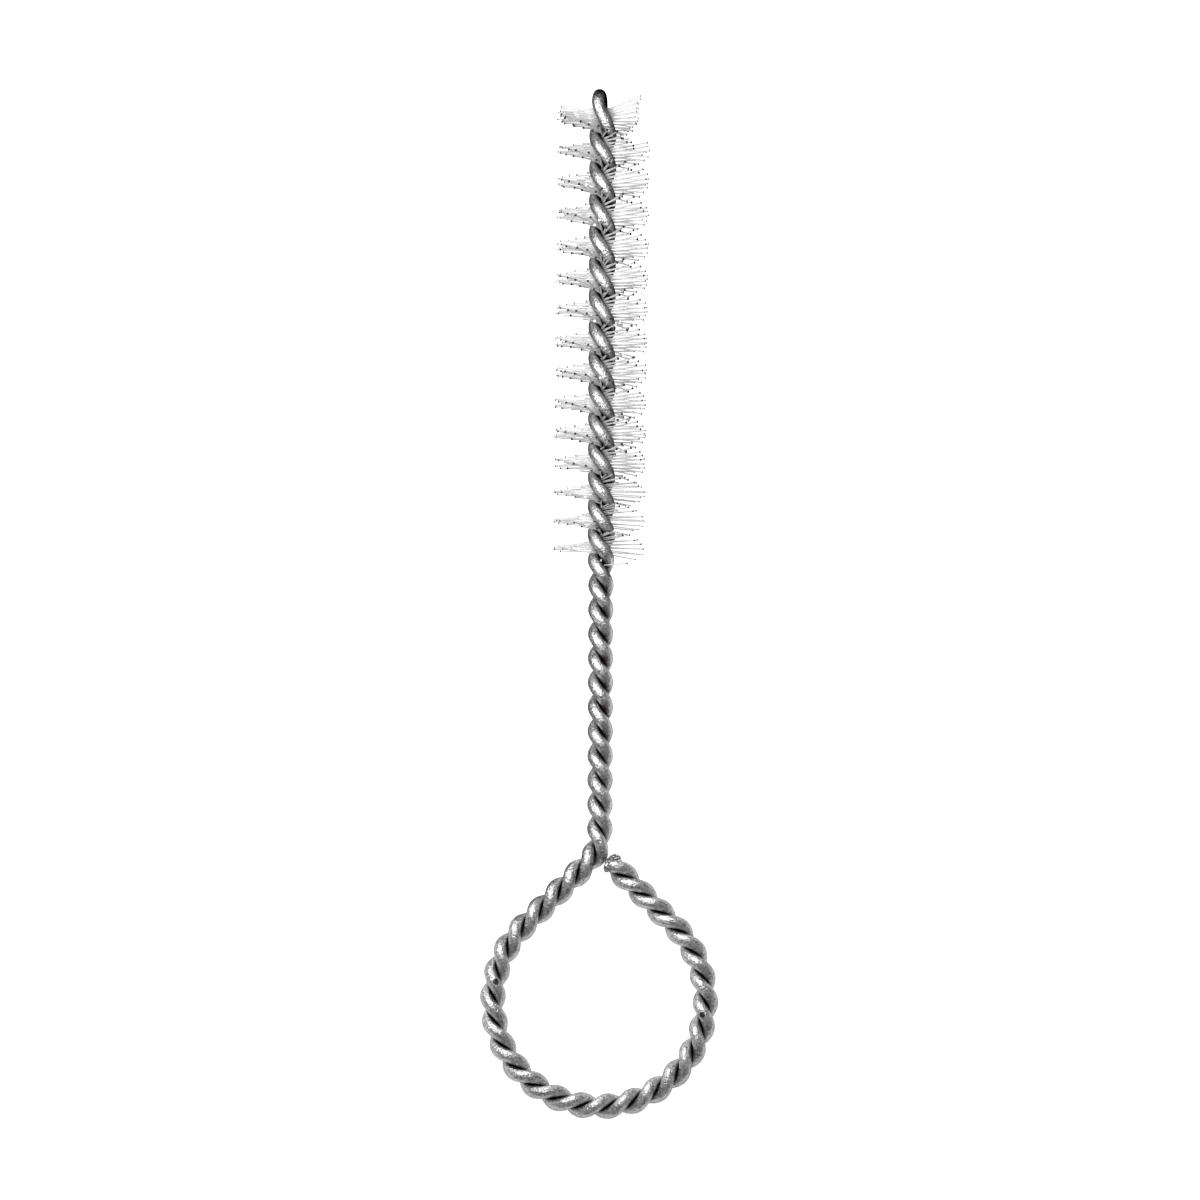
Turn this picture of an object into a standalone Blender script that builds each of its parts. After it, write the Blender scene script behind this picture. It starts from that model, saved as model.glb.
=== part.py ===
"""A collet cleaning brush of the twisted-in-wire kind, lying on a bench.

One length of steel wire is doubled over a bare hairpin tip. Its two legs nip straight nylon filaments
between them, are twisted left-handed along their whole length, and the bare end of the twisted pair is
bent round into the ring that it is held and hung by. The wire is one piece and no piece moves.

The brush is laid out flat first: the ring's centre at the origin, +Y along the shank towards the tip
and +Z up. An empty then tips it into the pose in which it rests on a bench.
"""

import math
from itertools import pairwise

import bmesh
import bpy
import numpy as np
from mathutils import Vector

MM = 0.001

# Driving dimensions
OVERALL_LENGTH = 139.7 * MM
BRUSH_PART_LENGTH = 63.5 * MM  # from the bare tip to the last filament
BRUSH_DIAMETER = 12.7 * MM
RING_OUTER_DIAMETER = 32.0 * MM
WIRE_DIAMETER = 1.65 * MM

# The twisted pair: a lay is the length of one whole turn of a leg
LEG_GAP = 0.2 * MM  # between the two legs where they are bare
LAY_AT_TIP = 8.82 * MM
LAY_AT_FILL_END = 7.39 * MM
LAY_BARE_SHANK = 6.59 * MM
LAY_RING = 6.94 * MM
TWIST_RUN_IN = 3.7 * MM  # below the hairpin the twist takes this long to reach its full rate
GAP_RUN_OUT = 1.6 * MM  # the legs close up over this length past the last filament
HAIRPIN_ANGLE = math.radians(-22)  # from straight above the shank, about its axis

# The ring, and the free end of the pair beside the shank
RING_SHOULDER_ANGLE = math.radians(45)  # between the shank and each side of the ring at its neck
NECK_BEND_RADIUS = 5.5 * MM
RING_END_CLEARANCE = 0.3 * MM  # between the cut end and the neck
CUT_STAGGER = 0.5 * MM  # one leg is cut this much shorter than the other
TWIST_RUN_OUT = 2.2 * MM  # the pair has sprung open, and lost its twist, over this length

# The nylon fill
TUFT_COUNT = 15
FILAMENTS_PER_TUFT = 16
FILAMENT_DIAMETER = 0.17 * MM
FILAMENT_TIP_SHARE = 0.8  # of the filament's diameter, left at its cut end
NIP_WIDTH_SHARE = 0.9  # of the wire's diameter, for the fused middles of the filaments
NIP_CLEARANCE = 0.13 * MM  # between the nipped filaments and each leg
TUFT_CLEARANCE = 0.1 * MM  # between the fused middles of two neighbouring tufts
FILL_START = 0.7 * MM  # the first filament lies this far below the hairpin's centre
ROW_LEANS = (math.radians(2.5), math.radians(-6.5))  # towards the tip, filament by filament

# Facets
POINTS_PER_TURN = 10  # where the wire is wound tightest, along the bare shank
HAIRPIN_POINTS = 7
TWIST_STEP = 0.05 * MM
GAP_STEP = 0.25 * MM

# Sizes that follow from those above
WIRE_RADIUS = WIRE_DIAMETER / 2
FILL_GAP = FILAMENT_DIAMETER + 2 * NIP_CLEARANCE
BARE_SPREAD = (WIRE_DIAMETER + LEG_GAP) / 2
FILL_SPREAD = (WIRE_DIAMETER + FILL_GAP) / 2
PAIR_RADIUS = BARE_SPREAD + WIRE_RADIUS
RING_RADIUS = RING_OUTER_DIAMETER / 2 - PAIR_RADIUS
TIP_TO_HAIRPIN_CENTRE = FILL_SPREAD + WIRE_RADIUS
HAIRPIN_Y = OVERALL_LENGTH - RING_OUTER_DIAMETER / 2 - TIP_TO_HAIRPIN_CENTRE
FILL_END = BRUSH_PART_LENGTH - TIP_TO_HAIRPIN_CENTRE
FILL_END_Y = HAIRPIN_Y - FILL_END
NIP_HALF_WIDTH = NIP_WIDTH_SHARE * WIRE_DIAMETER / 2
REACH = BRUSH_DIAMETER / 2


def clear_scene():
    for obj in list(bpy.data.objects):
        bpy.data.objects.remove(obj, do_unlink=True)


def pair_stretches():
    """The pair's centreline from the hairpin to the cut end, as (length, angle turned) stretches."""
    neck_y = RING_RADIUS / math.sin(RING_SHOULDER_ANGLE)
    neck_cut = NECK_BEND_RADIUS * math.tan(RING_SHOULDER_ANGLE / 2)
    side = RING_RADIUS / math.tan(RING_SHOULDER_ANGLE)
    end_cut = (PAIR_RADIUS + RING_END_CLEARANCE) / math.sin(2 * RING_SHOULDER_ANGLE)
    ring_turn = math.pi + 2 * RING_SHOULDER_ANGLE
    return [
        (HAIRPIN_Y - neck_y - neck_cut, 0.0),
        (NECK_BEND_RADIUS * RING_SHOULDER_ANGLE, -RING_SHOULDER_ANGLE),
        (side - neck_cut, 0.0),
        (RING_RADIUS * ring_turn, ring_turn),
        (side - end_cut, 0.0),
    ]


STRETCHES = pair_stretches()
SHANK_LENGTH = STRETCHES[0][0]
PAIR_LENGTH = sum(length for length, _ in STRETCHES)


def direction(heading):
    """The way the pair runs, down the shank at heading 0 and towards +X at a quarter turn."""
    return Vector((math.sin(heading), -math.cos(heading), 0))


def inward(heading):
    """Across the pair in its own plane, towards the ring's centre."""
    return Vector((math.cos(heading), math.sin(heading), 0))


def centreline(distance):
    """The point and heading of the pair's centreline, at a distance from the hairpin's centre."""
    point = Vector((0, HAIRPIN_Y, 0))
    heading = 0.0
    for length, turn in STRETCHES:
        run = min(distance, length)
        swing = turn * run / length
        chord = run if turn == 0 else 2 * length / turn * math.sin(swing / 2)
        point = point + direction(heading + swing / 2) * chord
        heading += swing
        distance -= run
        if distance <= 0:
            break
    return point, heading


def lay(distance):
    """The length of one turn of the pair there."""
    if distance < FILL_END:
        tightened = (distance / FILL_END) ** 2
        return LAY_AT_TIP + (LAY_AT_FILL_END - LAY_AT_TIP) * tightened
    return LAY_BARE_SHANK if distance < SHANK_LENGTH else LAY_RING


def twist_table():
    """Distances along the pair, and the first leg's angle about its axis at each."""
    steps = math.ceil(PAIR_LENGTH / TWIST_STEP)
    distances = [PAIR_LENGTH * i / steps for i in range(steps + 1)]
    angles = [HAIRPIN_ANGLE]
    for near, far in pairwise(distances):
        middle = (near + far) / 2
        run_in = min(1, middle / TWIST_RUN_IN)
        run_out = min(1, (PAIR_LENGTH - middle) / TWIST_RUN_OUT)
        turn = math.tau * (far - near) / lay(middle)
        angles.append(angles[-1] + turn * run_in * run_out)
    return distances, angles


DISTANCES, ANGLES = twist_table()


def twist_at(distance):
    return float(np.interp(distance, DISTANCES, ANGLES))


def distance_at(angle):
    return float(np.interp(angle, ANGLES, DISTANCES))


def spread(distance):
    """How far each leg's centre stands from the pair's axis."""
    past_fill = min(1, max(0, (distance - FILL_END) / GAP_RUN_OUT))
    closing = past_fill * past_fill * (3 - 2 * past_fill)
    return FILL_SPREAD + (BARE_SPREAD - FILL_SPREAD) * closing


def across(heading, angle):
    """A unit vector across the pair, from straight up at angle 0 towards the ring's inner side."""
    return inward(heading) * math.sin(angle) + Vector((0, 0, math.cos(angle)))


def leg_point(distance, side):
    """A point on the centreline of one leg: side is 0 for the first and 1 for the second."""
    point, heading = centreline(distance)
    angle = twist_at(distance) + side * math.pi
    return point + across(heading, angle) * spread(distance)


def leg_points(side, length):
    """The leg from the hairpin down to its cut end, in equal steps along the pair."""
    count = math.ceil(length / LAY_BARE_SHANK * POINTS_PER_TURN)
    return [leg_point(length * i / count, side) for i in range(count + 1)]


def hairpin_points():
    """The bare bend at the tip, between the first leg's top and the second's."""
    centre, heading = centreline(0)
    outward = across(heading, HAIRPIN_ANGLE) * spread(0)
    up = -direction(heading) * spread(0)
    swings = [math.pi * i / (HAIRPIN_POINTS + 1) for i in range(1, HAIRPIN_POINTS + 1)]
    return [centre + outward * math.cos(swing) + up * math.sin(swing) for swing in swings]


def wire_points():
    """The whole wire's centreline: up the first leg, over the hairpin and down the second."""
    first = leg_points(0, PAIR_LENGTH)
    second = leg_points(1, PAIR_LENGTH - CUT_STAGGER)
    return first[::-1] + hairpin_points() + second


def least_gap(points):
    """The least gap between turns of the wire, leaving out its flat ends and what is in one bend."""
    corners = np.array(points)
    lengths = np.linalg.norm(np.diff(corners, axis=0), axis=1)
    along = np.concatenate([[0], np.cumsum(lengths)])
    marks = np.arange(WIRE_RADIUS, along[-1] - WIRE_RADIUS, GAP_STEP)
    places = np.column_stack([np.interp(marks, along, values) for values in corners.T])
    apart = np.abs(marks[:, None] - marks) > math.pi * FILL_SPREAD
    gaps = np.linalg.norm(places[:, None] - places, axis=2) - WIRE_DIAMETER
    return gaps[apart].min()


def make_material(name, colour, metallic, roughness):
    material = bpy.data.materials.new(name)
    material.use_nodes = True
    shader = material.node_tree.nodes["Principled BSDF"]
    shader.inputs["Base Color"].default_value = (*colour, 1)
    shader.inputs["Metallic"].default_value = metallic
    shader.inputs["Roughness"].default_value = roughness
    return material


def add_object(name, data, collection, pose, place):
    obj = bpy.data.objects.new(name, data)
    collection.objects.link(obj)
    obj.parent = pose
    obj.location = place


def make_wire(collection, pose, material):
    """The doubled, twisted and bent wire, as one unbroken tube."""
    points = wire_points()
    curve = bpy.data.curves.new("twisted_wire", "CURVE")
    curve.dimensions = "3D"
    spline = curve.splines.new("POLY")
    spline.points.add(len(points) - 1)
    for place, point in zip(spline.points, points):
        place.co = (*point, 1)
    curve.bevel_depth = WIRE_RADIUS
    curve.bevel_resolution = 2
    curve.use_fill_caps = True
    curve.materials.append(material)
    print(f"twisted_wire: least gap between its turns {least_gap(points) / MM:.2f} mm")
    add_object("twisted_wire", curve, collection, pose, (0, 0, 0))


def tuft_bounds():
    """Where each tuft starts and ends along the shank, in equal shares of the fill's twist."""
    first = twist_at(FILL_START)
    turn = twist_at(FILL_END) - first
    return [distance_at(first + turn * i / TUFT_COUNT) for i in range(TUFT_COUNT + 1)]


def filament_edges(start, end):
    """The two edges of each filament's middle, in order down the shank."""
    pitch = (end - start) / FILAMENTS_PER_TUFT
    middles = [start + pitch * (i + 0.5) for i in range(FILAMENTS_PER_TUFT)]
    return [middle + edge * FILAMENT_DIAMETER / 2 for middle in middles for edge in (-1, 1)]


def unit_tuft(ring_count):
    """A unit bar cut into rings, with one filament a unit long on both sides of every second stretch."""
    bar = bmesh.new()
    bmesh.ops.create_cube(bar, size=1)
    long_edges = [edge for edge in bar.edges if abs(edge.verts[0].co.y - edge.verts[1].co.y) > 0.5]
    bmesh.ops.subdivide_edges(bar, edges=long_edges, cuts=ring_count - 2, use_grid_fill=True)
    bar.normal_update()
    sides = [face for face in bar.faces if abs(face.normal.x) > 0.5]
    stretches = [int((0.5 - face.calc_center_median().y) * (ring_count - 1)) for face in sides]
    roots = [face for face, stretch in zip(sides, stretches) if stretch % 2]
    tips = bmesh.ops.extrude_discrete_faces(bar, faces=roots)["faces"]
    for face in tips:
        bmesh.ops.translate(bar, vec=face.normal, verts=face.verts)
    return bar


def nip_point(unit, rings, ring):
    """Where a corner of the unit bar lies: in the sheet of filaments between the two legs."""
    point, heading = centreline(rings[ring])
    angle = twist_at(rings[ring])
    outward = across(heading, angle + math.pi / 2) * 2 * unit.x * NIP_HALF_WIDTH
    return point + outward + across(heading, angle) * unit.z * FILAMENT_DIAMETER


def tip_point(unit, rings, ring):
    """Where a corner of a filament's cut end lies: straight out from the nip, leaning by its row."""
    number = (ring - 1) // 2
    station = (rings[2 * number + 1] + rings[2 * number + 2]) / 2
    point, heading = centreline(station)
    angle = twist_at(station)
    outward = across(heading, angle + math.pi / 2) * math.copysign(REACH, unit.x)
    lean = math.tan(ROW_LEANS[number % len(ROW_LEANS)]) * (REACH - NIP_HALF_WIDTH)
    edge = (ring - 2 * number - 1.5) * FILAMENT_DIAMETER * FILAMENT_TIP_SHARE
    side = across(heading, angle) * unit.z * FILAMENT_DIAMETER * FILAMENT_TIP_SHARE
    return point + outward + direction(heading) * (edge - lean) + side


def make_tuft(name, start, end, collection, pose, material):
    """One half turn of the fill, its filaments fused where the two legs nip them."""
    ends = (start + TUFT_CLEARANCE / 2, end - TUFT_CLEARANCE / 2)
    rings = [ends[0], *filament_edges(*ends), ends[1]]
    tuft = unit_tuft(len(rings))
    place, _ = centreline((start + end) / 2)
    for vert in tuft.verts:
        ring = round((0.5 - vert.co.y) * (len(rings) - 1))
        locate = tip_point if abs(vert.co.x) > 1 else nip_point
        vert.co = locate(vert.co, rings, ring) - place
    mesh = bpy.data.meshes.new(name)
    tuft.to_mesh(mesh)
    tuft.free()
    mesh.materials.append(material)
    add_object(name, mesh, collection, pose, place)


def rest_tilt():
    """How far the shank slopes up to the tip, resting on the fill's lower edge and the ring's far side."""
    run = FILL_END_Y + RING_RADIUS
    return math.atan2(REACH, run) - math.asin(PAIR_RADIUS / math.hypot(run, REACH))


def make_resting_pose(collection):
    """The empty that carries the brush: the ring's far side and the fill's edge come down to Z 0."""
    tilt = rest_tilt()
    pose = bpy.data.objects.new("resting_pose", None)
    collection.objects.link(pose)
    tip_y = HAIRPIN_Y * math.cos(tilt) + TIP_TO_HAIRPIN_CENTRE
    ring_y = -RING_RADIUS * math.cos(tilt) - PAIR_RADIUS
    pose.rotation_euler = (tilt, 0, 0)
    pose.location = (0, -(tip_y + ring_y) / 2, PAIR_RADIUS + RING_RADIUS * math.sin(tilt))
    return pose


def main():
    clear_scene()
    collection = bpy.data.collections.new("collet_cleaning_brush")
    bpy.context.scene.collection.children.link(collection)
    steel = make_material("galvanised_steel", (0.52, 0.52, 0.53), 1.0, 0.35)
    nylon = make_material("clear_nylon", (0.82, 0.83, 0.82), 0.0, 0.4)
    pose = make_resting_pose(collection)
    make_wire(collection, pose, steel)
    for number, (start, end) in enumerate(pairwise(tuft_bounds()), 1):
        make_tuft(f"bristle_tuft_{number:02d}", start, end, collection, pose, nylon)


main()
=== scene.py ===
"""The collet cleaning brush as it looks: satin galvanised wire and a fill of clear nylon filaments.

The brush is laid out flat first: the ring's centre at the origin, +Y along the shank towards the tip
and +Z towards the camera. Each finished mesh is then tipped into the pose in which it rests on a bench.
"""

import math

import bpy
from mathutils import Matrix, Vector


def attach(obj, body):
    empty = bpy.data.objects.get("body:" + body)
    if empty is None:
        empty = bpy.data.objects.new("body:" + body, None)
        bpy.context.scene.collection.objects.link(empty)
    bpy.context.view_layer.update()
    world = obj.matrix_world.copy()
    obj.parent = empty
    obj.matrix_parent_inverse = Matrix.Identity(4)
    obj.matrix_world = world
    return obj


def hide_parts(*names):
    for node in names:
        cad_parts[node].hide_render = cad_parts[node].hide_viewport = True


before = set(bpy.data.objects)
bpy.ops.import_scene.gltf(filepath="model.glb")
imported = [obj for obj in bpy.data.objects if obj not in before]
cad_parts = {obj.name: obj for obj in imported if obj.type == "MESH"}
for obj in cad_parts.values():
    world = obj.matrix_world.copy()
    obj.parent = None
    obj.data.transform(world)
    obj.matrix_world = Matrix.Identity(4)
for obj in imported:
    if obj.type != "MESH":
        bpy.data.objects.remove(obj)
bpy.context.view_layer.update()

MM = 0.001

# The path of the twisted pair, from the hairpin to the cut ends
OVERALL_LENGTH = 139.7 * MM
BRUSH_PART_LENGTH = 63.5 * MM
RING_OUTER_DIAMETER = 32.0 * MM
RING_SHOULDER_ANGLE = math.radians(45)
RING_END_CLEARANCE = -0.1 * MM  # of the pair's end from the neck, before the legs are cut back
NECK_BEND_RADIUS = 5.5 * MM
PAIR_RADIUS = 1.75 * MM
TIP_TO_HAIRPIN_CENTRE = 1.865 * MM

# The wire. A lay is the length over which a leg goes once round the pair's axis.
WIRE_DIAMETER = 1.726 * MM  # drawn full where the two legs press together
WIRE_STEPS = 1800
WIRE_SIDES = 22
FILL_SPREAD = 0.98 * MM  # from the pair's axis to the middle of a leg, where the fill is nipped
BARE_SPREAD = WIRE_DIAMETER / 2
GAP_RUN_OUT = 1.6 * MM  # over which the legs close up past the fill
LAY_AT_TIP = 8.82 * MM
LAY_AT_FILL_END = 7.39 * MM
LAY_BARE_SHANK = 6.59 * MM
LAY_RING = 6.94 * MM
TWIST_RUN_IN = 4.2 * MM  # over which the twist sets in below the hairpin
TWIST_RUN_OUT = 0.2 * MM  # over which it ends before the cuts
HAIRPIN_ANGLE = math.radians(-12)
HAIRPIN_LEAN = 0.43 * MM  # how far the hairpin leans off the axis
HAIRPIN_LEAN_REACH = 2.6 * MM
MARK_LENGTHWISE = 0.35  # of the drawing marks' pattern to each mm, so that they are drawn out

# The two cut ends of the wire
CUT_BACK = (0.55 * MM, 0.2 * MM)  # of the first and the second leg
CUT_STEPS = 18  # the fine ones at each cut
CUT_STEP = 0.05 * MM
CUT_SHEAR = 0.65  # how far a cut face leans along the wire for what it goes across it
CUT_SHEAR_REACH = 0.9 * MM
SECOND_CUT_SKEW = -0.3  # half of the sideways lean that only the second leg's cut has
BURR_SWELL = 0.1  # of the wire's thickness
BURR_REACH = 0.6 * MM
TEAR_SIZE = 0.5 * MM
TEAR_DEPTH = 0.2 * MM  # of the first leg's cut, and three times that on the second's

# The tufts of the fill. The first is trimmed and splayed, and those past the full ones are thin.
TUFT_COUNT = 15
FULL_TUFTS = 12
FIRST_TUFT_FILAMENTS = 34
FULL_TUFT_FILAMENTS = 22
THIN_TUFT_FILAMENTS = 18
FILL_START = 0.7 * MM
REACH = 6.26 * MM  # from the wire's middle to a filament's end
REACH_AT_START = 5.85 * MM
OFFSET_AT_START = -0.55 * MM  # of the trimmed fill's middle from the wire, towards the right
OFFSET_AT_TIP = 0.2 * MM
OFFSET_AT_FILL_END = -0.35 * MM
LEAN_AT_START = math.radians(-0.1)  # of a whole tuft towards the tip
LEAN_AT_TIP = math.radians(4.9)
LEAN_AT_FILL_END = math.radians(-1.6)
ROW_LEAN = math.radians(4.8)  # of a tuft's two layers, each its own way
ROW_LEAN_AT_FILL_END = math.radians(1.8)
SPLAY_AT_START = math.radians(22)
SPLAY_FADE = 3  # so the splay is gone after the first third of the tuft
LEAN_JITTER = math.radians(0.7)
TURN_JITTER = math.radians(1.8)
REACH_JITTER = 0.3 * MM
REACH_JITTER_AT_START = 0.9 * MM
PLACE_JITTER = 0.3  # of the room that each filament has
STRAY = 1.5 * MM  # how far one filament has slipped past the end of the fill
STRAY_SHORTFALL = 0.7  # of its reach on one side
SEEDS_PER_TUFT = 20

# One filament, from its nipped middle to its flared ends
FILAMENT_DIAMETER = 0.21 * MM
THIN_FILAMENT_DIAMETER = 0.8 * FILAMENT_DIAMETER
FILAMENT_SIDES = 6
POINTS_PER_FILAMENT = 9
NIP_REACH = 1.0 * MM  # how far out it is held between the legs
FILAMENT_BEND_REACH = 2.4 * MM  # from there to where its bow has a point
FILAMENT_BEND = 0.1 * MM  # how far aside its bow takes its end, at most
LAYER_OFFSET = 0.05 * MM  # of each layer from the middle of the nip
FLARE_STEP = 3  # the step out from the middle at which the flare starts
CUT_FLARE_LENGTH = 0.12 * MM
CUT_FLARE = 1.9  # times the filament's thickness

# Two nicks in the ring's zinc
NICKS = (Vector((-13.84, 2.33, 1.7)) * MM, Vector((13.78, -2.06, 1.64)) * MM)
NICK_REACH = 0.5 * MM
NICK_CORE = 0.7 * NICK_REACH

# Sizes that follow from those above
RING_RADIUS = RING_OUTER_DIAMETER / 2 - PAIR_RADIUS
HAIRPIN_Y = OVERALL_LENGTH - RING_OUTER_DIAMETER / 2 - TIP_TO_HAIRPIN_CENTRE
HAIRPIN_HALF = math.pi / 2 * FILL_SPREAD  # of its arc
FILL_END = BRUSH_PART_LENGTH - TIP_TO_HAIRPIN_CENTRE
TIGHTENING = math.sqrt((1 - LAY_AT_FILL_END / LAY_AT_TIP) / FILL_END**2)  # of the lay along the fill


def pair_stretches():
    """The pair's centreline from the hairpin to the cut end, as (length, angle turned) stretches."""
    neck_y = RING_RADIUS / math.sin(RING_SHOULDER_ANGLE)
    neck_cut = NECK_BEND_RADIUS * math.tan(RING_SHOULDER_ANGLE / 2)
    side = RING_RADIUS / math.tan(RING_SHOULDER_ANGLE)
    end_cut = (PAIR_RADIUS + RING_END_CLEARANCE) / math.sin(2 * RING_SHOULDER_ANGLE)
    ring_turn = math.pi + 2 * RING_SHOULDER_ANGLE
    return [
        (HAIRPIN_Y - neck_y - neck_cut, 0.0),
        (NECK_BEND_RADIUS * RING_SHOULDER_ANGLE, -RING_SHOULDER_ANGLE),
        (side - neck_cut, 0.0),
        (RING_RADIUS * ring_turn, ring_turn),
        (side - end_cut, 0.0),
    ]


STRETCHES = pair_stretches()
SHANK_LENGTH = STRETCHES[0][0]
PAIR_LENGTH = sum(length for length, _ in STRETCHES)

# The pose in which the brush rests, on its fill's lower edge and the ring's far side
REST_TILT = math.radians(3.5330525)
REST_PLACE = Vector((0, -53.747762 * MM, 2.628147 * MM))
RESTING_POSE = Matrix.Translation(REST_PLACE) @ Matrix.Rotation(REST_TILT, 4, "X")


# Node trees


def find_socket(sockets, key):
    """A socket by its number, or the shown one of that name."""
    if isinstance(key, int):
        return sockets[key]
    return next(socket for socket in sockets if socket.name == key and socket.enabled)


class Graph:
    """A node tree in the making."""

    def __init__(self, tree):
        self.tree = tree

    def give(self, socket, value):
        """Links a socket to what varies, or sets an even value on it."""
        if isinstance(value, Link):
            self.tree.links.new(value.socket, socket)
        else:
            socket.default_value = value

    def node(self, kind, settings=None, sockets=None, output=0):
        """Adds a node, its settings before its sockets, and returns one of its outputs, if it has any."""
        node = self.tree.nodes.new(kind)
        for name, value in (settings or {}).items():
            setattr(node, name, value)
        for key, value in (sockets or {}).items():
            self.give(find_socket(node.inputs, key), value)
        return Link(self, find_socket(node.outputs, output)) if node.outputs else None


class Link:
    """One output of a node. Sums on it add the nodes that work them out."""

    def __init__(self, graph, socket):
        self.graph = graph
        self.socket = socket

    def other(self, name):
        """Another output of the same node."""
        return Link(self.graph, find_socket(self.socket.node.outputs, name))

    def __add__(self, value):
        return maths("ADD", self, value)

    def __radd__(self, value):
        return maths("ADD", value, self)

    def __sub__(self, value):
        return maths("SUBTRACT", self, value)

    def __rsub__(self, value):
        return maths("SUBTRACT", value, self)

    def __mul__(self, value):
        return maths("MULTIPLY", self, value)

    def __rmul__(self, value):
        return maths("MULTIPLY", value, self)

    def __truediv__(self, value):
        return maths("DIVIDE", self, value)

    def __rtruediv__(self, value):
        return maths("DIVIDE", value, self)

    def __neg__(self):
        return maths("MULTIPLY", self, -1.0)


def maths(operation, *values):
    graph = next(value.graph for value in values if isinstance(value, Link))
    return graph.node("ShaderNodeMath", {"operation": operation}, dict(enumerate(values)))


def sine(angle):
    return maths("SINE", angle) if isinstance(angle, Link) else math.sin(angle)


def cosine(angle):
    return maths("COSINE", angle) if isinstance(angle, Link) else math.cos(angle)


def least(value, limit):
    return maths("MINIMUM", value, limit)


def most(value, limit):
    return maths("MAXIMUM", value, limit)


def between(value, low, high):
    return least(most(value, low), high)


def ramp(value, start, end):
    """Eases from 0 where the value is start to 1 where it is end."""
    share = between((value - start) * (1 / (end - start)), 0, 1)
    return share * share * (3 - 2 * share)


def blend(first, second, share):
    """This share of the second value, and the rest of the first."""
    return first * (1 - share) + second * share


def vector(graph, x, y, z):
    return graph.node("ShaderNodeCombineXYZ", sockets={"X": x, "Y": y, "Z": z})


def vector_maths(operation, *vectors, output=0):
    graph = next(value.graph for value in vectors if isinstance(value, Link))
    sockets = dict(enumerate(vectors))
    return graph.node("ShaderNodeVectorMath", {"operation": operation}, sockets, output)


def noise(graph, place, size, detail=2.0, roughness=0.5):
    """Soft noise from 0 to 1, whose patches are about this size."""
    sockets = {"Vector": place, "Scale": 1 / size, "Detail": detail, "Roughness": roughness}
    return graph.node("ShaderNodeTexNoise", sockets=sockets)


# The law of the twisted pair


def pair_centreline(distance):
    """X, Y and heading of the pair's centreline, at a distance from the hairpin's centre."""
    x, y, heading = 0.0, HAIRPIN_Y, 0.0
    start = entry = 0.0
    for length, turn in STRETCHES:
        run = between(distance - start, 0, length)
        if turn:
            swing = run * (turn / length)
            way = swing / 2 + entry
            chord = sine(swing / 2) * (2 * length / turn)
            heading = heading + swing
        else:
            way = entry
            chord = run
        x = x + sine(way) * chord
        y = y - cosine(way) * chord
        start += length
        entry += turn
    return x, y, heading


def pair_angle(distance):
    """The first leg's angle about the pair's axis, from straight up towards the ring's inner side."""
    run_in = least(distance, TWIST_RUN_IN)
    fill = least(distance, FILL_END) * TIGHTENING
    shank = between(distance - FILL_END, 0, SHANK_LENGTH - FILL_END)
    ring = most(distance - SHANK_LENGTH, 0)
    run_out = most(distance - (PAIR_LENGTH - TWIST_RUN_OUT), 0)
    turns = maths("LOGARITHM", (1 + fill) / (1 - fill), math.e) / (2 * TIGHTENING * LAY_AT_TIP)
    turns = turns - run_in / LAY_AT_TIP + run_in * run_in / (2 * TWIST_RUN_IN * LAY_AT_TIP)
    turns = turns + shank / LAY_BARE_SHANK + ring / LAY_RING
    turns = turns - run_out * run_out / (2 * TWIST_RUN_OUT * LAY_RING)
    return turns * math.tau + HAIRPIN_ANGLE


def fill_turns(distance):
    """The same twist as a plain number, for a place in the fill: the turns made since the hairpin."""
    run_in = min(distance, TWIST_RUN_IN)
    lost = run_in - run_in**2 / (2 * TWIST_RUN_IN)
    return (math.atanh(distance * TIGHTENING) / TIGHTENING - lost) / LAY_AT_TIP


# Geometry trees

SIDE_CORNERS = 4  # of a face on a tube's side, where a cap has more


class GeometryGraph(Graph):
    """A Geometry Nodes tree, with the inputs that a modifier sets."""

    def __init__(self, name):
        super().__init__(bpy.data.node_groups.new(name, "GeometryNodeTree"))
        self.add_socket("Geometry", "OUTPUT", "Geometry")

    def add_socket(self, name, way, kind):
        self.tree.interface.new_socket(name, in_out=way, socket_type=f"NodeSocket{kind}")

    def inputs(self, **kinds):
        """Adds named inputs and gives a link to each."""
        for name, kind in kinds.items():
            self.add_socket(name, "INPUT", kind)
        source = self.node("NodeGroupInput")
        return [source.other(name) for name in kinds]

    def attribute(self, name, kind="FLOAT"):
        return self.node("GeometryNodeInputNamedAttribute", {"data_type": kind}, {"Name": name})

    def store(self, geometry, name, value, kind="FLOAT", domain="POINT"):
        settings = {"data_type": kind, "domain": domain}
        sockets = {"Geometry": geometry, "Name": name, "Value": value}
        return self.node("GeometryNodeStoreNamedAttribute", settings, sockets)

    def random(self, low, high, number, seed):
        sockets = {"Min": low, "Max": high, "ID": number, "Seed": seed}
        return self.node("FunctionNodeRandomValue", {"data_type": "FLOAT"}, sockets, "Value")

    def finish(self, mesh, material):
        """Flat cut ends on smooth sides, then the material."""
        corners = self.node("GeometryNodeInputMeshFaceNeighbors", output="Vertex Count")
        cut = maths("GREATER_THAN", corners, SIDE_CORNERS + 0.5)
        mesh = self.store(mesh, "cut_end", cut, domain="FACE")
        sockets = {"Geometry": mesh, "Shade Smooth": 1 - cut}
        mesh = self.node("GeometryNodeSetShadeSmooth", sockets=sockets)
        mesh = self.node("GeometryNodeRealizeInstances", sockets={"Geometry": mesh})
        sockets = {"Geometry": mesh, "Material": material}
        mesh = self.node("GeometryNodeSetMaterial", sockets=sockets)
        self.node("NodeGroupOutput", sockets={"Geometry": mesh})


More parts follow.
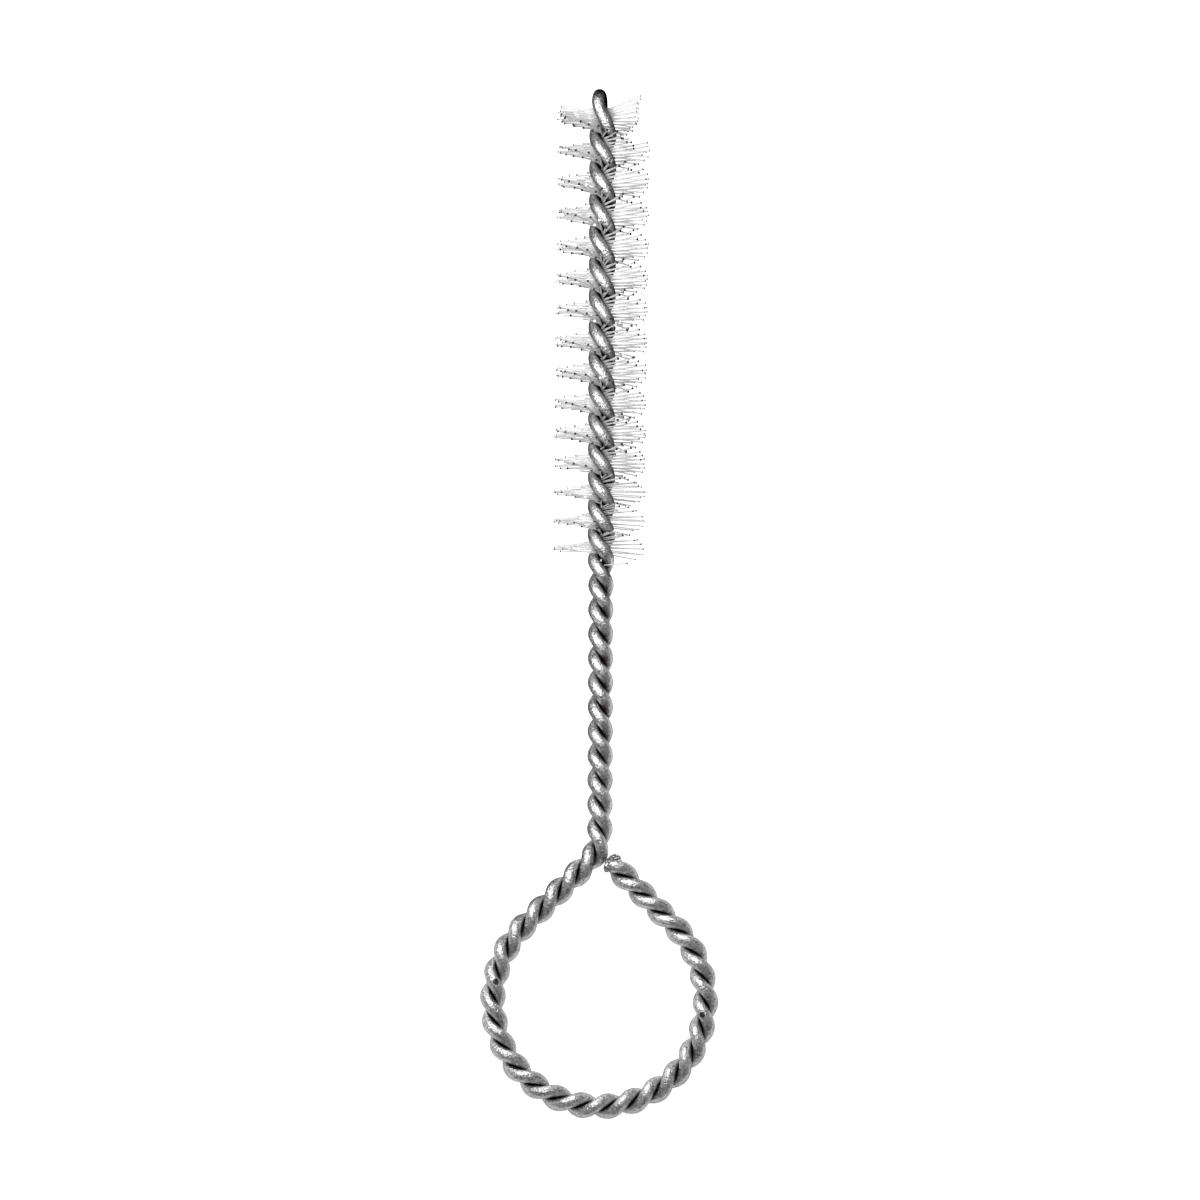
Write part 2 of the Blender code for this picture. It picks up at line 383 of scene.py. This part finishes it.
def tube(graph, curve, radius, sides, scale):
    """A capped tube along each curve."""
    sockets = {"Resolution": sides, "Radius": radius}
    ring = graph.node("GeometryNodeCurvePrimitiveCircle", {"mode": "RADIUS"}, sockets)
    sockets = {"Curve": curve, "Profile Curve": ring, "Scale": scale, "Fill Caps": True}
    return graph.node("GeometryNodeCurveToMesh", sockets=sockets)


def both_legs(graph, steps):
    """The wire's middle line, from one cut end over the hairpin to the other."""
    index = graph.node("GeometryNodeInputIndex")

    # How far along its own leg each point lies: negative on the first leg, positive on the second
    from_end = least(index, steps - 1 - index)
    second = maths("GREATER_THAN", index * 2, steps - 0.5)
    reach = PAIR_LENGTH + HAIRPIN_HALF - CUT_BACK[0] - second * (CUT_BACK[1] - CUT_BACK[0])
    step = (reach - CUT_STEPS * CUT_STEP) / ((steps - 1) / 2 - CUT_STEPS)
    from_cut = least(from_end, CUT_STEPS) * CUT_STEP + most(from_end - CUT_STEPS, 0) * step
    along = (second * 2 - 1) * (reach - from_cut)
    distance = most(maths("ABSOLUTE", along) - HAIRPIN_HALF, 0)
    swing = (between(along / HAIRPIN_HALF, -1, 1) + 1) * (math.pi / 2)

    x, y, heading = pair_centreline(distance)
    x = x - HAIRPIN_LEAN * (1 - ramp(distance, 0, HAIRPIN_LEAN_REACH))
    angle = pair_angle(distance)
    closing = ramp(distance, FILL_END, FILL_END + GAP_RUN_OUT)
    out = cosine(swing) * (FILL_SPREAD + (BARE_SPREAD - FILL_SPREAD) * closing)
    up = sine(swing) * FILL_SPREAD
    leg_place = vector(
        graph,
        x + cosine(heading) * sine(angle) * out,
        y + sine(heading) * sine(angle) * out + up,
        cosine(angle) * out,
    )
    points = graph.node("GeometryNodePoints", sockets={"Count": steps, "Position": leg_place})
    for name, value, kind in (
        ("axis_place", vector(graph, x, y, 0.0), "FLOAT_VECTOR"),
        ("axis_way", vector(graph, sine(heading), -cosine(heading), 0.0), "FLOAT_VECTOR"),
        ("leg_place", leg_place, "FLOAT_VECTOR"),
        ("from_cut", from_cut, "FLOAT"),
        ("along", along, "FLOAT"),
    ):
        points = graph.store(points, name, value, kind)
    curve = graph.node("GeometryNodePointsToCurves", sockets={"Points": points, "Weight": index})
    tangent = graph.node("GeometryNodeInputTangent")
    return graph.store(curve, "leg_way", tangent, "FLOAT_VECTOR")


def tear_cut_ends(graph, mesh, shear):
    """Leans each cut face, as a cutter leaves it, and tears it."""
    position = graph.node("GeometryNodeInputPosition")
    leg = maths("SIGN", graph.attribute("along"))
    offset = vector_maths("SUBTRACT", position, graph.attribute("leg_place", "FLOAT_VECTOR"))
    skew = vector(graph, 0.0, leg * SECOND_CUT_SKEW + SECOND_CUT_SKEW, 1.0)
    slope = vector_maths("DOT_PRODUCT", offset, skew, output="Value") * shear
    near_cut = 1 - between(graph.attribute("from_cut") / CUT_SHEAR_REACH, 0, 1)
    tear = (noise(graph, position, TEAR_SIZE) - 0.5) * near_cut * (2 + leg) * TEAR_DEPTH
    sockets = {
        0: graph.attribute("leg_way", "FLOAT_VECTOR"),
        "Scale": (slope + tear) * near_cut * -leg,
    }
    shift = graph.node("ShaderNodeVectorMath", {"operation": "SCALE"}, sockets)
    return graph.node("GeometryNodeSetPosition", sockets={"Geometry": mesh, "Offset": shift})


def store_drawn(graph, mesh, sides):
    """Coordinates for the drawing marks: round the wire, and drawn out along it."""
    index = graph.node("GeometryNodeInputIndex")
    corner = maths("FLOORED_MODULO", index, sides) * (math.tau / sides)
    lengthwise = graph.attribute("along") / MM * MARK_LENGTHWISE
    drawn = vector(graph, cosine(corner), sine(corner), lengthwise)
    return graph.store(mesh, "drawn", drawn, "FLOAT_VECTOR")


def store_standoff(graph, mesh):
    """How far in mm the surface stands from the pair's axis, for the painted shade between the legs."""
    position = graph.node("GeometryNodeInputPosition")
    away = vector_maths("SUBTRACT", position, graph.attribute("axis_place", "FLOAT_VECTOR"))
    axis_way = graph.attribute("axis_way", "FLOAT_VECTOR")
    ahead = vector_maths("DOT_PRODUCT", away, axis_way, output="Value")
    straight = vector_maths("DOT_PRODUCT", away, away, output="Value")
    standoff = maths("SQRT", most(straight - ahead * ahead, 0)) / MM
    return graph.store(mesh, "standoff", standoff)


def wire_tree(material):
    """The doubled wire, twisted from one cut end over the hairpin to the other."""
    graph = GeometryGraph("twisted_wire")
    diameter, steps, sides, shear = graph.inputs(
        Wire_Diameter="Float", Steps="Int", Sides="Int", Cut_Shear="Float"
    )
    curve = both_legs(graph, steps)
    burr = 1 + BURR_SWELL * (1 - ramp(graph.attribute("from_cut"), 0.0, BURR_REACH))
    mesh = tube(graph, curve, diameter / 2, sides, burr)
    mesh = tear_cut_ends(graph, mesh, shear)
    mesh = store_drawn(graph, mesh, sides)
    mesh = store_standoff(graph, mesh)
    graph.finish(mesh, material)
    return graph


def way_out(steps_out, reach):
    """How far out a filament's point lies, by its step from the middle: nip, bend, flare and end."""
    lengths = (
        NIP_REACH,
        FILAMENT_BEND_REACH,
        reach - (NIP_REACH + FILAMENT_BEND_REACH + CUT_FLARE_LENGTH),
        CUT_FLARE_LENGTH,
    )
    out = 0.0
    for number, length in enumerate(lengths):
        out = out + between(steps_out - number, 0, 1) * length
    return out


def tuft_tree(material):
    """One half turn of the fill: filaments nipped at their middles, in two layers that lean apart."""
    graph = GeometryGraph("nylon_tuft")
    (
        start, end, count, diameter, reach, offset, lean, row_lean,
        lean_jitter, turn_jitter, reach_jitter, splay, stray, seed,
    ) = graph.inputs(
        Start="Float", End="Float", Filaments="Int", Filament_Diameter="Float",
        Reach="Float", Offset="Float", Lean="Float", Row_Lean="Float",
        Lean_Jitter="Float", Turn_Jitter="Float", Reach_Jitter="Float",
        Splay="Float", Stray="Float", Seed="Int",
    )
    index = graph.node("GeometryNodeInputIndex")
    filament = maths("FLOOR", (index + 0.5) / POINTS_PER_FILAMENT)
    step = index - filament * POINTS_PER_FILAMENT
    from_middle = step - (POINTS_PER_FILAMENT - 1) // 2
    steps_out = maths("ABSOLUTE", from_middle)
    side = maths("SIGN", from_middle)
    second_side = side * 0.5 + 0.5
    half = filament * 2 + maths("GREATER_THAN", side, 0.5)  # numbers the halves of all filaments

    # Where the filament lies in the fill
    share = (filament + 0.5 + graph.random(-PLACE_JITTER, PLACE_JITTER, filament, seed)) / count
    last = maths("GREATER_THAN", filament, count - 1.5)
    distance = start + (end - start) * share + last * stray
    angle = pair_angle(distance)

    # How each half of it leans, turns, reaches and bends
    layer = maths("FLOORED_MODULO", filament, 2.0) * 2 - 1
    splaying = splay * most(1 - SPLAY_FADE * share, 0) * second_side
    leaning = lean + splaying + row_lean * layer * side
    leaning = leaning + graph.random(-1.0, 1.0, half, seed + 1) * lean_jitter
    turning = graph.random(-1.0, 1.0, half, seed + 2) * turn_jitter
    reach = reach + offset * side * cosine(angle)
    reach = reach + graph.random(-1.0, 0.0, half, seed + 3) * reach_jitter
    bend_up = graph.random(-1.0, 1.0, half, seed + 4) * FILAMENT_BEND
    bend_round = graph.random(-1.0, 1.0, half, seed + 5) * FILAMENT_BEND

    # Where each of its points lies
    slipped = last * maths("GREATER_THAN", stray, 0.0) * second_side
    out = way_out(steps_out, reach) * (1 - slipped * STRAY_SHORTFALL)
    free = most(out - NIP_REACH, 0)
    bow = (free / reach) * (free / reach)
    outward = side * out
    beside = layer * LAYER_OFFSET + side * free * turning + bend_round * bow
    place = vector(
        graph,
        cosine(angle) * outward + sine(angle) * beside,
        HAIRPIN_Y - distance + free * leaning + bend_up * bow,
        cosine(angle) * beside - sine(angle) * outward,
    )
    sockets = {"Count": count * POINTS_PER_FILAMENT, "Position": place}
    points = graph.node("GeometryNodePoints", sockets=sockets)
    points = graph.store(points, "steps_out", steps_out)
    points = graph.store(points, "tone", graph.random(0.0, 1.0, filament, seed + 6))
    points = graph.store(points, "out", out / MM)
    sockets = {"Points": points, "Curve Group ID": filament, "Weight": step}
    curve = graph.node("GeometryNodePointsToCurves", sockets=sockets)
    flare = 1 + between(graph.attribute("steps_out") - FLARE_STEP, 0, 1) * (CUT_FLARE - 1)
    mesh = tube(graph, curve, diameter / 2, FILAMENT_SIDES, flare)
    graph.finish(mesh, material)
    return graph


def make_piece(name, graph, slot, replaced, **values):
    """Runs a tree, keeps its mesh as a piece of its own in the resting pose and hides the solid."""
    source = bpy.data.objects.new(f"{name}_source", bpy.data.meshes.new(name))
    bpy.context.scene.collection.objects.link(source)
    modifier = source.modifiers.new("tree", "NODES")
    modifier.node_group = graph.tree
    for item in graph.tree.interface.items_tree:
        if item.in_out == "INPUT":
            modifier[item.identifier] = values[item.name]
    bpy.context.view_layer.update()
    depsgraph = bpy.context.evaluated_depsgraph_get()
    mesh = bpy.data.meshes.new_from_object(source.evaluated_get(depsgraph), depsgraph=depsgraph)
    source.modifiers.remove(modifier)
    bpy.data.objects.remove(source, do_unlink=True)
    mesh.name = name
    mesh.transform(RESTING_POSE)
    piece = bpy.data.objects.new(name, mesh)
    bpy.context.scene.collection.objects.link(piece)
    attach(piece, "root")
    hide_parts(replaced)


# Materials

WHITE = (1, 1, 1, 1)
BLACK = (0, 0, 0, 1)


def new_material(name):
    """A material, its tree and its Principled shader."""
    material = bpy.data.materials.new(name)
    material.use_nodes = True
    return material, Graph(material.node_tree), material.node_tree.nodes["Principled BSDF"]


def dress(graph, shader, **values):
    """Sets a shader's sockets, named with _ for a space, to even values or to what varies."""
    for name, value in values.items():
        graph.give(shader.inputs[name.replace("_", " ")], value)


def object_place(graph):
    return graph.node("ShaderNodeTexCoord", output="Object")


def carried(graph, name, output="Fac"):
    """A value that the mesh carries."""
    return graph.node("ShaderNodeAttribute", {"attribute_name": name}, output=output)


def mix_colours(graph, share, first, second):
    sockets = {"Factor": share, "A": first, "B": second}
    return graph.node("ShaderNodeMix", {"data_type": "RGBA"}, sockets, "Result")


# Zinc, and the drawing marks and the mottle in it
ZINC_DULL = (0.42, 0.42, 0.425, 1)
ZINC_BRIGHT = (0.8, 0.8, 0.805, 1)
# Painted shade: the greyer zinc inside the fill, where the filaments shade the wire
ZINC_SHADE_IN_FILL = (0.3, 0.3, 0.3, 1)
ZINC_EDGE_TINT = (0.25, 0.25, 0.25, 1)
ZINC_ROUGHNESS = 0.25
TONE_ROUGHNESS = 0.1  # added where the tone is bright
DIRT_ROUGHNESS = 0.25  # added between the legs
MARK_SIZE = 0.22  # with the wire's radius as 1
MOTTLE_SIZE = 0.3 * MM
PATCH_SIZE = 2.5 * MM
MARKS_IN_TONE = 0.5
MARKS_IN_RELIEF = 0.4
RELIEF_DEPTH = 0.2 * MM
TONE_RANGE = (0.38, 0.62)
GLOSS_RANGE = (0.3, 0.7)
FILL_GREYNESS = 0.15
FILL_EDGE = 1.0 * MM
SHANK_FADE = 15 * MM

# Painted shade between the legs, heavier on the right side and in the fill, and real rust. Standoffs are
# in mm from the pair's axis, and so are the amounts of painted shade, which reach that much farther out.
# A side's range is across the brush.
SHADE_AND_DIRT_BLACK = (0.012, 0.011, 0.01, 1)
DARKEST = 0.9  # cover of the torn ends and the nicks
CREVICE_STANDOFF = (0.55, 1.06)
SHADE_PATCHINESS = 0.2
FILL_SHADE = 0.42
FILL_SHADE_ON_RIGHT = 0.36
FILL_SHADE_SIDE = (0.0, 1.2 * MM)
SHANK_SHADE = 0.4
SHANK_SHADE_EVEN = 0.6  # the share of its range at which the shank is as dirty as the ring
SHANK_SHADE_SIDE = (-0.8 * MM, 0.8 * MM)
TORN_SIZE = 0.22 * MM
TORN_REACH = (0.6 * MM, 1.1 * MM)
TORN_RANGE = (0.44, 0.52)
RUST_BROWN = (0.16, 0.11, 0.085, 1)
RUST_COVER = 0.9
RUST_STANDOFF = (1.1, 1.7)
RUST_SIDE = (-0.4 * MM, 0.3 * MM)
RUST_RANGE = (0.42, 0.54)
MOTTLE_IN_RUST = 0.65


def galvanised_steel():
    """Satin zinc on drawn wire, finely mottled, with painted shade between the legs and a little rust."""
    material, graph, shader = new_material("galvanised_steel")
    place = object_place(graph)
    across = graph.node("ShaderNodeSeparateXYZ", sockets={"Vector": place}, output="X")
    standoff = carried(graph, "standoff")
    from_hairpin = maths("ABSOLUTE", carried(graph, "along"))
    in_fill = 1 - ramp(from_hairpin, FILL_END - FILL_EDGE, FILL_END + FILL_EDGE)
    in_shank = (1 - in_fill) * (1 - ramp(from_hairpin, SHANK_LENGTH - SHANK_FADE, SHANK_LENGTH))
    marks = noise(graph, carried(graph, "drawn", "Vector"), MARK_SIZE, detail=3.0, roughness=0.6)
    mottle = noise(graph, place, MOTTLE_SIZE, detail=2.5)
    patches = noise(graph, place, PATCH_SIZE)

    tone = between(blend(mottle, marks, MARKS_IN_TONE), 0, 1)
    zinc = mix_colours(graph, ramp(tone, *TONE_RANGE), ZINC_DULL, ZINC_BRIGHT)
    # Inside the fill the zinc is painted greyer, as painted shade from the filaments round it
    zinc = mix_colours(graph, in_fill * FILL_GREYNESS, zinc, ZINC_SHADE_IN_FILL)
    rusting = (1 - ramp(standoff, *RUST_STANDOFF)) * ramp(across, *RUST_SIDE) * in_shank
    rust = ramp(blend(patches, mottle, MOTTLE_IN_RUST), *RUST_RANGE) * rusting * RUST_COVER
    rusty = mix_colours(graph, rust, zinc, RUST_BROWN)

    # Painted shade lies between the legs, heavier on the right side and in the fill; real dirt lies on
    # the torn ends and in the nicks
    fill_shade = in_fill * (FILL_SHADE + ramp(across, *FILL_SHADE_SIDE) * FILL_SHADE_ON_RIGHT)
    shank_shade = in_shank * (ramp(across, *SHANK_SHADE_SIDE) - SHANK_SHADE_EVEN) * SHANK_SHADE
    bared = standoff + (patches - 0.5) * SHADE_PATCHINESS - fill_shade - shank_shade
    # Painted shade: near-black where the surface lies close to the pair's axis
    crevice_shade = 1 - ramp(bared, *CREVICE_STANDOFF)
    torn = ramp(noise(graph, place, TORN_SIZE, detail=1.0), *TORN_RANGE)
    torn_end = (1 - ramp(carried(graph, "from_cut"), *TORN_REACH)) * torn
    dark = most(crevice_shade, torn_end * DARKEST)
    for nick in NICKS:
        away = vector_maths("DISTANCE", place, tuple(RESTING_POSE @ nick), output="Value")
        dark = most(dark, (1 - ramp(away, NICK_CORE, NICK_REACH)) * DARKEST)
    darkened = mix_colours(graph, dark, rusty, SHADE_AND_DIRT_BLACK)

    roughness = ZINC_ROUGHNESS + ramp(tone, *GLOSS_RANGE) * TONE_ROUGHNESS + crevice_shade * DIRT_ROUGHNESS
    height = blend(mottle, marks, MARKS_IN_RELIEF)
    sockets = {"Strength": 1.0, "Distance": RELIEF_DEPTH, "Height": height}
    relief = graph.node("ShaderNodeBump", sockets=sockets, output="Normal")
    dress(graph, shader, Metallic=1.0, Specular_Tint=ZINC_EDGE_TINT)
    dress(graph, shader, Base_Color=darkened, Roughness=roughness, Normal=relief)
    return material


# Nylon
NYLON_PALE = (0.98, 0.98, 0.975, 1)
NYLON_GREY = (0.7, 0.7, 0.695, 1)
# Painted shade near the wire, and painted dark cut ends
NYLON_ROOT_SHADE = (0.12, 0.115, 0.11, 1)
NYLON_CUT_SHADE = (0.015, 0.015, 0.015, 1)
NYLON_REFRACTION = 1.53
NYLON_CLEARNESS = 0.15
NYLON_ROUGHNESS = 0.2
STREAK_SIZE = 0.6 * MM
STREAK_ROUGHNESS = 0.15
CUT_ROUGHNESS = 0.4
TONE_WEIGHT = 0.5
STREAK_WEIGHT = 0.3
ROOT_SHADE = 0.2
ROOT_RANGE = (1.0, 2.0)  # in mm out from the wire's middle
CUT_RANGE = (FLARE_STEP + 0.05, FLARE_STEP + 0.3)
PALE_CUT_TONES = (0.9, 0.95)  # of the few filaments whose cut faces are left pale, without the painted shade


def clear_nylon():
    """Natural nylon: pale and a little see-through, with painted shade near the wire, and painted dark
    where a cut end looks down the filament.
    """
    material, graph, shader = new_material("clear_nylon")
    streaks = noise(graph, object_place(graph), STREAK_SIZE)
    tone = carried(graph, "tone")
    cap = carried(graph, "cut_end")
    # Painted shade: the flared ends and most cut faces are painted near-black, for the dark seen down a
    # filament
    cut = ramp(carried(graph, "steps_out"), *CUT_RANGE) * (1 - cap * ramp(tone, *PALE_CUT_TONES))
    paleness = tone * TONE_WEIGHT + streaks * STREAK_WEIGHT
    pale = mix_colours(graph, paleness, NYLON_GREY, NYLON_PALE)
    # Painted shade: filaments darker near the wire, where it shades them
    root = (1 - ramp(carried(graph, "out"), *ROOT_RANGE)) * ROOT_SHADE
    darkened = mix_colours(graph, root, pale, NYLON_ROOT_SHADE)
    colour = mix_colours(graph, cut, darkened, NYLON_CUT_SHADE)
    roughness = NYLON_ROUGHNESS + streaks * STREAK_ROUGHNESS + cut * CUT_ROUGHNESS
    dress(graph, shader, IOR=NYLON_REFRACTION, Transmission_Weight=NYLON_CLEARNESS)
    dress(graph, shader, Base_Color=colour, Roughness=roughness)
    return material


# The brush

BOUND_SAMPLES = 2000


def tuft_bounds():
    """Where each tuft starts and ends along the shank, in equal shares of the fill's twist."""
    fill_length = FILL_END - FILL_START
    samples = [FILL_START + fill_length * i / BOUND_SAMPLES for i in range(BOUND_SAMPLES + 1)]
    first, last = fill_turns(FILL_START), fill_turns(FILL_END)
    wanted = [first + (last - first) * i / TUFT_COUNT for i in range(TUFT_COUNT + 1)]
    return [min(samples, key=lambda sample: abs(fill_turns(sample) - want)) for want in wanted]


def graded(at_tip, at_fill_end, number):
    """A value that changes evenly from the first tuft to the last."""
    return at_tip + (at_fill_end - at_tip) * ((number - 1) / (TUFT_COUNT - 1))


def tuft_values(number):
    """The modifier's values for a full or a thin tuft."""
    full = number <= FULL_TUFTS
    return {
        "Filaments": FULL_TUFT_FILAMENTS if full else THIN_TUFT_FILAMENTS,
        "Filament_Diameter": FILAMENT_DIAMETER if full else THIN_FILAMENT_DIAMETER,
        "Reach": REACH,
        "Offset": graded(OFFSET_AT_TIP, OFFSET_AT_FILL_END, number),
        "Lean": math.tan(graded(LEAN_AT_TIP, LEAN_AT_FILL_END, number)),
        "Row_Lean": math.tan(ROW_LEAN if full else ROW_LEAN_AT_FILL_END),
        "Lean_Jitter": LEAN_JITTER,
        "Turn_Jitter": TURN_JITTER,
        "Reach_Jitter": REACH_JITTER,
        "Splay": 0.0,
        "Stray": 0.0,
        "Seed": number * SEEDS_PER_TUFT,
    }


FIRST_TUFT = {
    "Filaments": FIRST_TUFT_FILAMENTS,
    "Reach": REACH_AT_START,
    "Offset": OFFSET_AT_START,
    "Lean": math.tan(LEAN_AT_START),
    "Reach_Jitter": REACH_JITTER_AT_START,
    "Splay": SPLAY_AT_START,
}


def make_brush():
    make_piece(
        "galvanised_wire", wire_tree(galvanised_steel()), "steel_wire", "twisted_wire",
        Wire_Diameter=WIRE_DIAMETER, Steps=WIRE_STEPS, Sides=WIRE_SIDES, Cut_Shear=CUT_SHEAR,
    )
    tuft = tuft_tree(clear_nylon())
    bounds = tuft_bounds()
    for number in range(1, TUFT_COUNT + 1):
        values = tuft_values(number)
        if number == 1:
            values.update(FIRST_TUFT)
        if number == TUFT_COUNT:
            values["Stray"] = STRAY
        make_piece(
            f"nylon_tuft_{number:02d}", tuft, "nylon_bristle", f"bristle_tuft_{number:02d}",
            Start=bounds[number - 1], End=bounds[number], **values,
        )


# The camera

IMAGE_SIZE = 1200
MM_PER_PIXEL = 0.13441 * MM
CAMERA_DISTANCE = 2500 * MM
CAMERA_TILT = math.radians(7.5)
CAMERA_ROLL = math.radians(0.25)
AIM = Vector((-0.11 * MM, 54.15 * MM, 0))
SENSOR = 36.0
CLIP_START = 0.1
CLIP_END = 20.0


def make_camera():
    data = bpy.data.cameras.new("camera")
    data.sensor_width = SENSOR
    data.lens = SENSOR * CAMERA_DISTANCE / (IMAGE_SIZE * MM_PER_PIXEL)
    data.clip_start = CLIP_START
    data.clip_end = CLIP_END
    camera = bpy.data.objects.new("camera", data)
    bpy.context.scene.collection.objects.link(camera)
    turn = Matrix.Rotation(CAMERA_TILT, 4, "X") @ Matrix.Rotation(CAMERA_ROLL, 4, "Z")
    back = Matrix.Translation((0, 0, CAMERA_DISTANCE))
    camera.matrix_world = RESTING_POSE @ Matrix.Translation(AIM) @ turn @ back
    bpy.context.scene.camera = camera


# The floor and the light, with places and sizes in metres

WORLD_LIGHT = 0.33
PAPER = (0.85, 0.85, 0.85, 1)
PAPER_ROUGHNESS = 0.9
PAPER_GLOW = 0.8
PAPER_IN_METAL = 0.5  # share of the glow that the metal mirrors
PAPER_LIGHT = 0.36  # share of the glow that lights the brush
CARD_LIFT = 0.0004  # above the floor

FLAT = Matrix.Identity(4)
UPRIGHT = Matrix.Rotation(math.radians(90), 4, "Y")
ACROSS = Matrix.Rotation(math.radians(90), 4, "X")


def stage_sheet(name, size, place, turn, material):
    """A flat square sheet of the studio, centred on its place."""
    half = size / 2
    mesh = bpy.data.meshes.new(name)
    corners = [(-half, -half, 0), (half, -half, 0), (half, half, 0), (-half, half, 0)]
    mesh.from_pydata(corners, [], [(0, 1, 2, 3)])
    mesh.transform(Matrix.Translation(place) @ turn)
    mesh.materials.append(material)
    sheet = bpy.data.objects.new(name, mesh)
    bpy.context.scene.collection.objects.link(sheet)
    return sheet


def seen_share(graph):
    """1 for what the camera or a clear piece sees, 0 for what lights the brush."""
    path = graph.node("ShaderNodeLightPath", output="Is Camera Ray")
    return most(path, path.other("Is Transmission Ray"))


def bench_paper():
    """White bench paper: lit as pale paper, and seen as white except where the brush shades it."""
    material, graph, shader = new_material("bench_paper")
    path = graph.node("ShaderNodeLightPath", output="Is Glossy Ray")
    unseen = most(path * PAPER_IN_METAL, path.other("Is Diffuse Ray") * PAPER_LIGHT)
    glow = mix_colours(graph, most(seen_share(graph), unseen), BLACK, WHITE)
    dress(graph, shader, Base_Color=PAPER, Roughness=PAPER_ROUGHNESS, Specular_IOR_Level=0.0)
    dress(graph, shader, Emission_Color=glow, Emission_Strength=PAPER_GLOW)
    return material


def make_world():
    """Dim light from all round, seen as white."""
    world = bpy.data.worlds.new("studio")
    world.use_nodes = True
    bpy.context.scene.world = world
    graph = Graph(world.node_tree)
    strength = WORLD_LIGHT + seen_share(graph) * (1 - WORLD_LIGHT)
    dress(graph, world.node_tree.nodes["Background"], Color=WHITE, Strength=strength)


def make_lamp(name, size, power, place):
    """A square soft lamp that faces the brush."""
    data = bpy.data.lights.new(name, "AREA")
    data.shape = "SQUARE"
    data.size = size
    data.energy = power
    lamp = bpy.data.objects.new(name, data)
    facing = Vector(place).to_track_quat("Z", "Y").to_matrix().to_4x4()
    lamp.matrix_world = Matrix.Translation(place) @ facing
    bpy.context.scene.collection.objects.link(lamp)


def dark_card(name, glow, size, place, turn):
    """A card just out of view, that gives the metal its dark edges and nothing else."""
    material, graph, shader = new_material(name)
    dress(graph, shader, Base_Color=BLACK, Specular_IOR_Level=0.0)
    dress(graph, shader, Emission_Color=WHITE, Emission_Strength=glow)
    card = stage_sheet(name, size, place, turn, material)
    card.visible_camera = False
    card.visible_diffuse = False
    card.visible_shadow = False
    card.visible_transmission = False


def make_studio():
    stage_sheet("bench_floor", size=6.0, place=(0, 0, 0), turn=FLAT, material=bench_paper())
    make_world()
    make_lamp("softbox", size=0.1, power=0.13, place=(-0.03, 0.033, 0.09))
    dark_card("card_right", glow=0.05, size=0.6, place=(0.3, 0, -0.2), turn=UPRIGHT)
    dark_card("card_left", glow=0.28, size=0.12, place=(-0.09, 0.03, 0.065), turn=UPRIGHT)
    dark_card("card_bottom", glow=0.14, size=0.6, place=(0, -0.4, 0.31), turn=ACROSS)
    dark_card("card_under_left", glow=0.2, size=0.6, place=(-0.3, 0.3065, CARD_LIFT), turn=FLAT)
    dark_card("card_under_right", glow=0.03, size=0.6, place=(0.3, 0.3065, CARD_LIFT), turn=FLAT)
    dark_card("card_under_neck", glow=0.25, size=0.045, place=(-0.0275, -0.016, CARD_LIFT), turn=FLAT)
    dark_card("card_tip", glow=0.0, size=0.05, place=(0, 0.095, 0.028), turn=ACROSS)


bpy.context.scene.view_settings.view_transform = "Standard"
make_camera()
make_brush()
make_studio()
